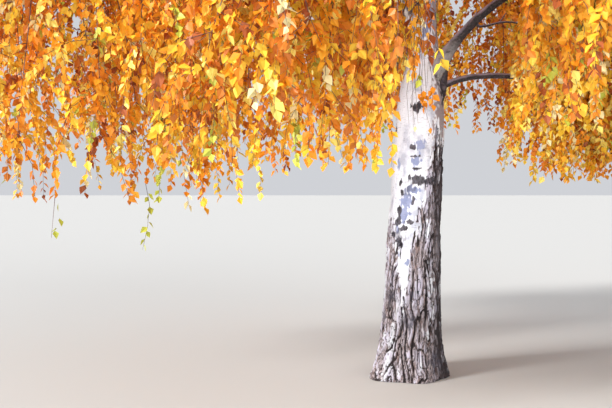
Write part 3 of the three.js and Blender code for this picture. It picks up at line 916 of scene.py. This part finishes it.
# How much of each tint there is, in the order above, on three kinds of limb.
SHARES = {"painted_sunlit": (0.02, 0.08, 0.16, 0.25, 0.23, 0.15, 0.08, 0.03),
          "mixed": (0.05, 0.13, 0.22, 0.25, 0.18, 0.09, 0.05, 0.03),
          "painted_shaded": (0.09, 0.19, 0.25, 0.23, 0.12, 0.06, 0.02, 0.04)}
# Paler tints on the right and deeper ones at the back: painted light and painted shade.
SUNLIT_LIMBS, SHADED_LIMBS = ("right_low", "right_high", "front_right"), ("back", "back_left", "back_right")
SPRAY, TRAIL_SPACING = 5, 0.045
TRUNK_THINNING, SAME_AS_SHOOT = 0.66, 0.35


def tints_of(limb, rng, count):
    """A tint's number for each leaf. A spray of a few leaves shares one, often its shoot's."""
    kind = "painted_sunlit" if limb["name"] in SUNLIT_LIMBS else "painted_shaded" if limb["name"] in SHADED_LIMBS else "mixed"
    sprays = count // SPRAY + 1
    drawn = rng.choice(len(TINTS), sprays + 1, p=np.array(SHARES[kind]))
    own = np.where(rng.random(sprays) < SAME_AS_SHOOT, drawn[-1], drawn[:-1])
    return np.repeat(own, SPRAY)[:count]


def dealt_leaves(half, group):
    """For each tint, the places, tips and facings of its leaves, fewer in front of the trunk."""
    rows, tints = [], []
    for limb in group:
        rng = np.random.default_rng(500 + limb["seed"])
        bearers = [(s, 0.04) for s in limb["shoots"]] + [(t, 0.35) for t in limb["twigs"]]
        for line, first in bearers:
            hung = leaves_on(line, rng, LEAF_SPACING[half], first)
            thin = np.repeat(rng.random(len(hung) // SPRAY + 1) < TRUNK_THINNING, SPRAY)
            kept = ~(thin[: len(hung)] & in_view_of(hung[:, 0], *BEFORE_TRUNK))
            kept &= ~in_view_of(hung[:, 0], *BEFORE_BOUGHS)
            rows.append(hung[kept])
            tints.append(tints_of(limb, rng, len(hung))[kept])
        for line in limb.get("trails", []):
            rows.append(leaves_on(line, rng, TRAIL_SPACING, 0.1))
            tints.append(np.full(len(rows[-1]), list(TINTS).index("lime")))
    rows, tints = np.concatenate(rows), np.concatenate(tints)
    return {tint: rows[tints == number] for number, tint in enumerate(TINTS)}


leaves = {half: dealt_leaves(half, group) for half, group in HALVES.items()}
print(sum(len(some) for half in leaves.values() for some in half.values()), "leaves")

# %% The tree that hangs a leaf at each place
def leaf_tree():
    inputs = {"Leaf": "Object", "Smallest": "Float", "Largest": "Float", "Seed": "Int",
              "Material": "Material"}
    tree, given = new_tree("leaves on shoots", inputs)
    leaf = tree.add("GeometryNodeObjectInfo", {"Object": given["Leaf"]})
    tip, facing = (tree.first("GeometryNodeInputNamedAttribute", {"Name": name},
                              data_type="FLOAT_VECTOR") for name in ("tip", "facing"))
    down = tree.first("FunctionNodeAlignRotationToVector", {"Vector": tip}, axis="Y")
    turned = tree.first("FunctionNodeAlignRotationToVector", {"Rotation": down, "Vector": facing},
                        axis="Z", pivot_axis="Y")
    size = tree.add("FunctionNodeRandomValue",
                    {2: given["Smallest"], 3: given["Largest"], "Seed": given["Seed"]},
                    data_type="FLOAT")
    hung = tree.first("GeometryNodeInstanceOnPoints",
                      {"Points": given["Geometry"], "Instance": leaf.outputs["Geometry"],
                       "Rotation": turned, "Scale": size.outputs[1]})
    return finish_tree(tree, hung, given["Material"])


# %% Hang the leaves
leaf, hang_leaves = pattern_leaf(), leaf_tree()
tint_materials = {tint: flat_material("leaf " + tint, colour, 0.5)
                  for tint, colour in TINTS.items()}
for half, group in HALVES.items():
    for number, (tint, rows) in enumerate(leaves[half].items()):
        kept = (rows[:, 0] > inside_low + 0.04).all(1) & (rows[:, 0] < inside_high - 0.02).all(1)
        places, tips, facings = rows[kept].transpose(1, 0, 2)
        points = shape(f"leaves_{half}_{tint}", places, tip=tips, facing=facings)
        piece = run_tree(points, hang_leaves, Leaf=leaf, Seed=number,
                         Smallest=LEAF_SIZES[half][0], Largest=LEAF_SIZES[half][1],
                         Material=tint_materials[tint])
        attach(piece, "root")
        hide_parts(*masses(group))
        print(piece.name, kept.sum(), "leaves,", triangles(piece), "triangles")
bpy.data.objects.remove(leaf)

# %% [markdown]
# ## The trunk's skin
# Young birch bark is smooth, white and marked with black. At the old foot it has split into long
# plates with deep furrows between, and this rough bark climbs higher on the right. The skin is a
# fine net of points, row on row up the trunk, and noise moves each point in or out. What the noise
# found is kept on the points as plain numbers, so that the colours fall where the relief is.

# %% A net of points over the trunk
TRUNK_COLUMNS = 208
ROW_STEP_LOW, ROW_STEP_HIGH, FINE_UP_TO = 0.0092, 0.085, 3.2


def apart_from(middle):
    """How far round the trunk each point is from an azimuth, from -180 to 180."""
    return (azimuth - middle + 180) % 360 - 180


rows = np.concatenate([np.arange(0, FINE_UP_TO, ROW_STEP_LOW),
                       np.arange(FINE_UP_TO, TRUNK_HEIGHT, ROW_STEP_HIGH), [TRUNK_HEIGHT]])
columns = np.arange(TRUNK_COLUMNS) * 360 / TRUNK_COLUMNS
height, azimuth = (grid.ravel() for grid in np.meshgrid(rows, columns, indexing="ij"))
out = compass(azimuth)
girth = stem_radius(height) + flare_at(height, azimuth)
skin = trunk_centre(height) + out * girth[:, None]


def lattice(points, across, up, shift):
    """Noise from -1 to 1 with cells that are across wide and up high. Each shift gives another."""
    scaled = points / np.array((across, across, up)) + shift
    return np.array([noise.noise(p) for p in scaled.tolist()])


print(len(skin), "points on the trunk")

# %% Where the bark is rough
# Azimuth and height of the line below which the bark is rough, once round from 173 to 533.
# Azimuth 263 faces the camera.
ROUGH_LINE = [(173, 1.32), (216, 1.28), (223, 1.15), (228, 1.0), (234, 0.95), (238, 0.8),
              (242, 0.66), (250, 0.68), (254, 0.8), (257, 1.05), (264, 1.22), (273, 1.3),
              (280, 1.38), (284, 1.58), (288, 1.78), (295, 1.88), (311, 1.98), (353, 2.05),
              (390, 1.9), (420, 1.7), (450, 1.5), (490, 1.15), (533, 1.32)]
# Height and azimuth of the white strip's middle, where it runs on down over the rough bark.
STRIP_HEIGHTS = (0.17, 0.29, 0.43, 0.52, 0.6, 0.7, 0.81)
STRIP_AZIMUTHS = (228, 229, 231, 235, 240, 246, 247)

SHADED_SIDE_AZIMUTH, STRIP_WIDTH = 345, 8

line = np.array(ROUGH_LINE, float)
wobble = lattice(skin, 0.06, 0.18, 3.0) * 0.25 + lattice(skin, 0.02, 0.05, 5.0) * 0.12
once_round = (azimuth - line[0, 0]) % 360 + line[0, 0]
above = height - np.interp(once_round, line[:, 0], line[:, 1]) - wobble
rough = 1 - slope(above, -0.03, 0.02)
strip = azimuth - np.interp(height, STRIP_HEIGHTS, STRIP_AZIMUTHS)
white_strip = np.exp(-((strip / STRIP_WIDTH) ** 2)) * (0.6 + 0.4 * slope(height, 0.45, 0.7))
# Painted shade: round azimuth 345, the side away from the key lamp, the rough bark is darkened in
# its colours.
shaded_side_spread = 32 + 14 * slope(height, 0.9, 1.3)
shaded_side = np.exp(-((apart_from(SHADED_SIDE_AZIMUTH) / shaded_side_spread) ** 2))
print(round(float(rough.mean()), 2), "of the points are on rough bark")

# %% [markdown]
# ## Furrows
# Bark splits lengthwise because the wood inside grows thicker. A furrow runs wherever a field of
# noise, stretched along the trunk, crosses zero: such lines wind, meet and close round long
# plates, as furrows do. The noise's value divided by its slope is the distance to that line,
# which gives every furrow about the same width.

# %% Furrows and plates
SHALLOWEST = 5
spacing = girth * 2 * np.pi / TRUNK_COLUMNS


def distance_to_line(field):
    """How far each point is from where the field is zero. Flat parts count as far."""
    grid = field.reshape(len(rows), TRUNK_COLUMNS)
    around = (np.roll(grid, -1, 1) - np.roll(grid, 1, 1)).ravel() / (2 * spacing)
    upward = np.gradient(grid, rows, axis=0).ravel()
    return np.abs(field) / np.maximum(SHALLOWEST, np.hypot(around, upward))


warp = np.stack([lattice(skin, 0.12, 0.3, shift) for shift in (11.0, 17.0)], 1) * 0.03
bent = skin + out * warp[:, :1] + np.cross(out, (0, 0, 1)) * warp[:, 1:]
to_long = distance_to_line(lattice(bent, 0.046, 0.9, 23.0))
to_short = distance_to_line(lattice(bent, 0.03, 0.24, 31.0))
to_fine = distance_to_line(lattice(bent, 0.022, 0.1, 37.0))
width = 0.007 * (1 + 0.9 * lattice(skin, 0.05, 0.2, 39.0) + 0.4 * slope(height, 1.0, 1.4))
depth = slope(lattice(skin, 0.07, 0.35, 47.0), -0.5, 0.0)
furrow = np.maximum(depth * (1 - slope(to_long / width, 0.3, 1.5)),
                    (1 - 0.5 * depth) * (1 - slope(to_short / width, 0.1, 0.9)))
furrow = rough * np.maximum(furrow, 0.7 * (1 - slope(to_fine, 0.0015, 0.0065)))
crest = rough * slope(np.minimum(to_long, to_short * 1.5), 0.004, 0.018)
print(round(float((furrow > 0.5).sum() / (rough > 0.5).sum()), 2), "of the rough bark is furrow")

# %% [markdown]
# ## Marks
# Where a branch once left the young stem, a black eye stays in the white bark. Lilac patches are
# partly bare bark where the papery outer layer has come off and partly painted shade, with a
# painted reflection of the blue sky. Old stains are dark and soft, and one of them, at the foot on
# the right, is the painted shade in a hollow. Brown patches, mostly on the right side, are partly
# brown bark and partly painted shade of that side. On the rough bark some pale plates are left of
# the white. All are listed one by one, each a ragged oval given by its azimuth, height, half width
# and half height.

# %% Marks of the bark
BLACK_MARKS = [(268, 1.578, 0.07, 0.048), (290, 1.572, 0.1, 0.03), (254, 2.155, 0.055, 0.042),
               (262, 2.16, 0.06, 0.008), (231, 1.48, 0.02, 0.035), (226, 1.56, 0.02, 0.035),
               (223, 1.34, 0.03, 0.04), (221, 1.25, 0.03, 0.055), (251, 1.25, 0.03, 0.02),
               (236, 1.2, 0.045, 0.025), (246, 1.6, 0.02, 0.02), (257, 1.42, 0.013, 0.06),
               (250, 1.84, 0.035, 0.025), (259, 1.77, 0.062, 0.006), (263, 1.674, 0.04, 0.014),
               (190, 1.98, 0.03, 0.04), (215, 2.79, 0.035, 0.02), (195, 2.62, 0.03, 0.02),
               (209, 1.15, 0.03, 0.025), (225, 1.1, 0.03, 0.03), (235, 1.06, 0.02, 0.025),
               (333, 2.33, 0.05, 0.14),
               (40, 2.5, 0.05, 0.03), (110, 1.95, 0.05, 0.025), (75, 3.1, 0.04, 0.02),
               (140, 2.4, 0.06, 0.02), (330, 2.9, 0.04, 0.02), (160, 1.62, 0.04, 0.02),
               (20, 2.2, 0.05, 0.02), (300, 3.4, 0.03, 0.015), (240, 3.9, 0.03, 0.015),
               (100, 3.6, 0.03, 0.02), (60, 1.8, 0.04, 0.05), (130, 1.5, 0.03, 0.04)]
# Lilac patches: partly bare bark, partly painted shade with a painted reflection of the blue sky.
LILAC_AND_SHADE_PATCHES = [(243, 1.415, 0.065, 0.065), (237, 1.317, 0.05, 0.06), (219, 1.227, 0.035, 0.06),
                 (262, 1.72, 0.045, 0.055), (217, 1.7, 0.02, 0.05), (262, 2.85, 0.06, 0.2),
                 (252, 1.5, 0.07, 0.04), (100, 2.2, 0.12, 0.3), (226, 0.99, 0.025, 0.05),
                 (251, 0.93, 0.02, 0.025), (266, 1.86, 0.05, 0.05)]
# Stains. The one at azimuth 315, 0.14 m up, is painted shade in a hollow at the foot.
STAINS_AND_HOLLOW_SHADE = [(218, 0.83, 0.035, 0.04), (214, 0.65, 0.06, 0.1), (198, 0.48, 0.04, 0.07),
          (259, 0.475, 0.07, 0.09), (262, 0.68, 0.025, 0.05), (315, 0.14, 0.12, 0.1),
          (258, 1.56, 0.08, 0.04), (246, 1.5, 0.05, 0.06), (230, 1.12, 0.07, 0.07)]
PALE_PLATES = [(303, 0.78, 0.05, 0.17), (305, 0.5, 0.03, 0.16), (297, 0.35, 0.02, 0.07),
               (272, 0.71, 0.025, 0.1), (281, 0.16, 0.02, 0.05), (193, 0.95, 0.03, 0.18),
               (187, 0.7, 0.03, 0.22), (209, 0.34, 0.025, 0.08), (292, 1.2, 0.03, 0.1)]
# Brown patches, mostly on the right side: partly brown bark, partly painted shade of that side.
BROWN_AND_SHADE_PATCHES = [(325, 2.1, 0.1, 0.75), (332, 2.9, 0.07, 0.4), (30, 2.6, 0.09, 0.4)]
ragged = lattice(skin, 0.022, 0.035, 41.0) * 0.9 + lattice(skin, 0.011, 0.03, 43.0) * 0.6


def ovals(marks, inner, outer):
    cover = np.zeros(len(skin))
    for mark_azimuth, mark_height, half_width, half_height in marks:
        aside = np.radians(apart_from(mark_azimuth)) * girth / half_width
        far = np.hypot(aside, (height - mark_height) / half_height * (1 + 0.6 * aside**2))
        cover = np.maximum(cover, 1 - slope(far + ragged, inner, outer))
    return cover


black = ovals(BLACK_MARKS, 0.45, 1.25)
lilac = ovals(LILAC_AND_SHADE_PATCHES, 0.5, 1.2) * (1 - rough)
brown = ovals(BROWN_AND_SHADE_PATCHES, 0.5, 1.1) * (1 - rough)
stain = ovals(STAINS_AND_HOLLOW_SHADE, -0.2, 1.5)
pale_plates = np.maximum(white_strip, 0.6 * slope(above, -0.25, 0.0))
pale_plates = np.maximum(pale_plates, 0.68 * ovals(PALE_PLATES, 0.3, 1.3))
print(len(BLACK_MARKS), "black marks and", len(LILAC_AND_SHADE_PATCHES), "lilac patches")

# %% Build the trunk's mesh
def tube_faces(row_count, row_length):
    """The faces of a tube of rows of points, closed at both ends round two more points."""
    here = np.arange(row_count * row_length).reshape(row_count, row_length)
    right = np.roll(here, -1, axis=1)
    quads = np.stack([here[:-1], right[:-1], right[1:], here[1:]], -1).reshape(-1, 4)
    foot, tip = here.size, here.size + 1
    faces = quads.tolist() + [(foot, b, a) for a, b in zip(here[0], right[0])]
    return faces + [(tip, a, b) for a, b in zip(here[-1], right[-1])]


plates = rough * (0.009 * crest - 0.003) - 0.014 * furrow
swell = lattice(skin, 0.16, 0.4, 51.0) * 0.008
swell += lattice(skin, 0.03, 0.05, 53.0) * (0.0003 + 0.0022 * rough)
fine = (lattice(skin, 0.014, 0.06, 61.0) * 0.005 + lattice(skin, 0.03, 0.2, 67.0) * 0.005) * rough
push = (plates + swell + fine - 0.004 * black) * np.clip(girth / 0.15, 0.2, 1)
push[height == 0] = 0
points = skin + out * push[:, None]
ends = np.stack([points[:TRUNK_COLUMNS].mean(0), points[-TRUNK_COLUMNS:].mean(0)])
seen_in_colours = {"rough": rough, "furrow": furrow, "crest": crest, "black": black, "lilac": lilac,
                   "brown": brown, "stain": stain, "pale": pale_plates, "dark": shaded_side}
trunk = shape("bark", np.vstack([points, ends]), faces=tube_faces(len(rows), TRUNK_COLUMNS),
              **{key: np.append(numbers, (0.0, 0.0)) for key, numbers in seen_in_colours.items()})
trunk.data.shade_smooth()
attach(trunk, "root")
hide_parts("trunk")
print(trunk.name, triangles(trunk), "triangles")

# %% [markdown]
# ## Colours of the bark
# White bark isn't plain white: it has faint grey streaks up and down, fine dark dashes across,
# and lilac patches, whose cool blue is partly painted shade and a painted reflection of the sky.
# Rough bark is grey brown with lilac-grey plates, some of them still white, and its furrows are
# nearly black. The plates' crests are painted a little lighter, partly a painted highlight, and on
# the right side, away from the key lamp, painted shade darkens the rough bark. The material starts
# from the numbers that the skin carries and breaks every edge between two colours with noise,
# because no such edge is straight.

# %% The trunk's bark
WHITE, STREAK_GREY, PATCH_GREY = (0.8, 0.82, 0.88), (0.6, 0.62, 0.7), (0.31, 0.33, 0.43)
BROWN_AND_SHADE_TONE, DEEP_LILAC, LILAC = (0.25, 0.19, 0.2), (0.17, 0.21, 0.38), (0.28, 0.32, 0.5)
DASH_BLACK, FIBRE_DARK, FIBRE_PALE = (0.12, 0.1, 0.11), (0.075, 0.058, 0.06), (0.5, 0.43, 0.45)
RUST, PLATE_LILAC, SHADE = (0.24, 0.135, 0.1), (0.6, 0.57, 0.69), (0.035, 0.026, 0.03)
PLATE_WHITE, FURROW_BLACK, SMUDGE_AND_SHADE = (0.76, 0.78, 0.84), (0.02, 0.013, 0.014), (0.07, 0.065, 0.09)
COAL, ASH = (0.015, 0.013, 0.017), (0.11, 0.1, 0.125)


def white_bark(tree, streaks, fine):
    patches = grain(tree, 9, detail=4, stretch=(1, 1, 0.6))
    dashes = grain(tree, 26, detail=3, stretch=(1, 1, 7))
    # Brown patches, partly painted shade on the right side.
    brown = (carried(tree, "brown") + fine - 0.5).steps_up(0.2, 0.7)
    # Lilac patches, partly painted shade with a painted reflection of the blue sky.
    lilac = (carried(tree, "lilac") + fine * 0.6 - 0.3).steps_up(0.15, 0.6)
    flake_and_shade = blend(tree, patches.steps_up(0.4, 0.6), DEEP_LILAC, LILAC)
    white = blend(tree, streaks.steps_up(0.45, 0.9), WHITE, STREAK_GREY)
    return layered(tree, white, (patches.steps_up(0.5, 0.64) * 0.65, PATCH_GREY),
                   (brown * 0.85, BROWN_AND_SHADE_TONE), (lilac * 0.95, flake_and_shade),
                   (dashes.steps_up(0.6, 0.67) * 0.5, DASH_BLACK))


def old_bark(tree, streaks, fine):
    fibres = grain(tree, 55, detail=5, roughness=0.75, stretch=(1, 1, 0.24), distortion=0.4)
    rust = grain(tree, 24, detail=3, stretch=(1, 1, 0.5))
    plates = grain(tree, 15, detail=3, stretch=(1, 1, 0.3))
    crest, pale = carried(tree, "crest"), carried(tree, "pale")
    # Lilac-grey plates, a little lighter on their crests: partly a painted highlight on the raised
    # plates.
    bloom_and_highlight = crest * 0.25 + plates + fibres + pale * 0.3 - 1.12
    # Painted shade on the right side, away from the key lamp, lighter on the plates and their
    # crests.
    shade = (carried(tree, "dark") * (1.7 - plates - crest * 0.25)).clamped()
    # White left on the plates, with thin flecks that are partly a painted highlight.
    white_left_and_highlight = pale * 0.5 + crest * 0.15 + streaks * 1.2 + fibres * 0.6 - 1.0
    furrow = (carried(tree, "furrow") * 1.3 + fine * 0.5 - 0.35).steps_up(0.25, 0.85)
    old = blend(tree, fibres.steps_up(0.38, 0.58), FIBRE_DARK, FIBRE_PALE)
    return layered(tree, old, ((rust - crest * 0.1).steps_up(0.48, 0.6) * 0.45, RUST),
                   (bloom_and_highlight.steps_up(0.0, 0.25), PLATE_LILAC), (shade, SHADE),
                   (white_left_and_highlight.steps_up(0.12, 0.36), PLATE_WHITE), (furrow, FURROW_BLACK))


def trunk_bark():
    material, shader = new_material("trunk bark")
    tree = Tree(material.node_tree)
    streaks = grain(tree, 30, detail=4, stretch=(1, 1, 0.08))
    fine = grain(tree, 110, detail=3, stretch=(1, 1, 0.35))
    crumbs = grain(tree, 48, detail=3, stretch=(1, 1, 0.5))
    rough = carried(tree, "rough")
    old = (rough + fine * 0.5 - 0.25).steps_up(0.35, 0.6)
    # Stains, and the painted shade of the hollow at the foot.
    smudge_and_shade = (carried(tree, "stain") * 1.15 + streaks * 0.8 + fine * 0.6 - 0.85).clamped() * 0.75
    black = (carried(tree, "black") * 1.2 + fine * 0.9 + crumbs * 1.4 - 1.35).steps_up(0.1, 0.6)
    shown = layered(tree, white_bark(tree, streaks, fine), (old, old_bark(tree, streaks, fine)),
                    (smudge_and_shade, SMUDGE_AND_SHADE), (black, blend(tree, crumbs.steps_up(0.4, 0.65), COAL, ASH)))
    tree.put(shader["Base Color"], shown)
    tree.put(shader["Roughness"], 0.5 + rough * 0.3 + fine * 0.15)
    relief = streaks * (0.02 + rough * 0.18) + fine * (0.15 + rough * 0.85)
    tree.put(shader["Normal"], bump(tree, relief, 0.8))
    return material


trunk.data.materials.append(trunk_bark())

# %% [markdown]
# ## Sizes
# The dressed tree has to stay as big as the frame, whose box is printed.

# %% Print the frame's size
print("the frame reaches from", np.round(cad_low, 2), "to", np.round(cad_high, 2))
